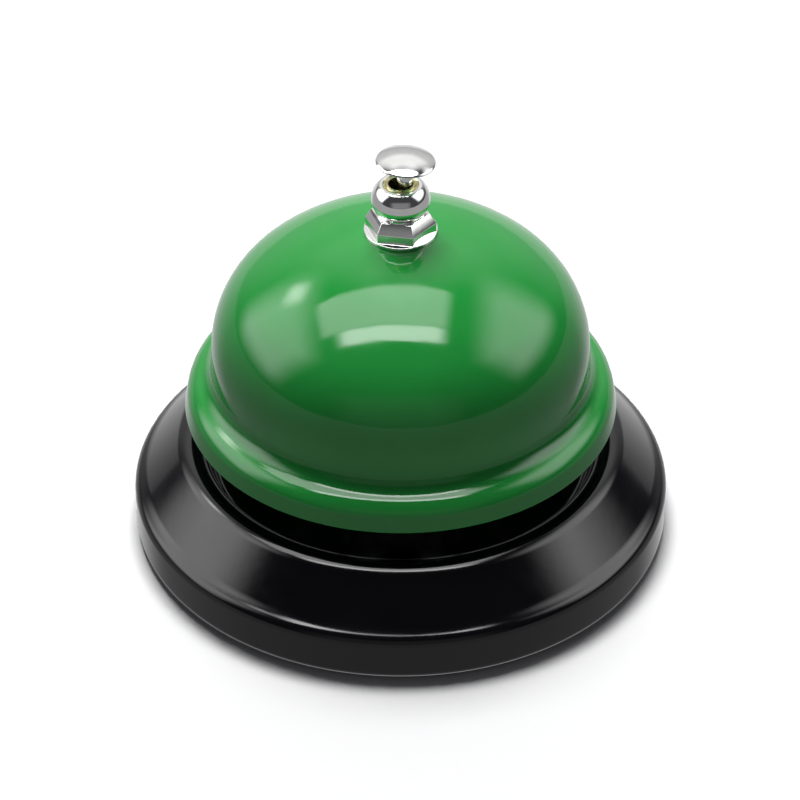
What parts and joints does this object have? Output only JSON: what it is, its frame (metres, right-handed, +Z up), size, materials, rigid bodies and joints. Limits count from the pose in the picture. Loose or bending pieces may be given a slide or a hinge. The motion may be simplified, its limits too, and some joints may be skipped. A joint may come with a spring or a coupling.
{
  "type": "service bell",
  "caption": "Counter call bell: painted dome over a dished black base, with a chrome press plunger that tips a pivoted hammer inside.",
  "frame": {"origin": "centre of the foot ring's resting face, on the bell's axis", "axes": "+Z up along the bell's axis, +X to the right as seen by the person ringing it, the hammer swings behind the post towards +Y"},
  "size_m": [0.075, 0.075, 0.06],
  "materials": {
    "black_gloss_paint": "high gloss stoved enamel",
    "green_gloss_paint": "high gloss stoved enamel",
    "chrome_plate": "bright nickel-chrome plate",
    "zinc_steel": "bright zinc-plated steel",
    "spring_steel": "drawn spring wire",
    "brass": "turned, lightly tarnished",
    "black_rubber": "matt moulded rubber",
    "red_fibre": "vulcanised fibre",
    "white_nylon": "moulded nylon"
  },
  "bodies": {
    "base": {"base_shell": "black_gloss_paint", "foot_ring": "black_rubber", "hammer_bracket": "zinc_steel", "bracket_rivets": "zinc_steel", "pivot_pin": "zinc_steel", "pivot_clip": "spring_steel", "pivot_spacers": "white_nylon", "centre_post": "zinc_steel", "post_lock_washer": "spring_steel", "post_nut": "zinc_steel", "guide_bush": "brass", "seat_nut": "zinc_steel", "seat_washer": "red_fibre", "dome": "green_gloss_paint", "finial_nut": "chrome_plate", "nut_bush": "brass"},
    "plunger": {"button_cap": "chrome_plate", "plunger_rod": "zinc_steel", "stem_collar": "chrome_plate", "retaining_clip": "spring_steel", "return_spring": "spring_steel"},
    "striker": {"striker_arm": "zinc_steel", "pivot_sleeve": "brass", "hammer_head": "zinc_steel", "hammer_rivet": "zinc_steel"}
  },
  "joints": [
    {"name": "plunger_press", "type": "slide", "parent": "base", "child": "plunger", "axis": [-0.0488, 0, -0.9988], "range_m": [0, 0.0025], "stiffness_N_per_m": 900, "springref_m": -0.0015, "deforming": ["return_spring"]},
    {"name": "striker_swing", "type": "hinge", "parent": "base", "child": "striker", "pos_m": [0, 0.0037, 0.027], "axis": [1, 0, 0], "range_deg": [0, 37.34]}
  ],
  "couplings": [
    {"joint": "striker_swing", "follows": "plunger_press", "rad_per_m": 260.64}
  ]
}
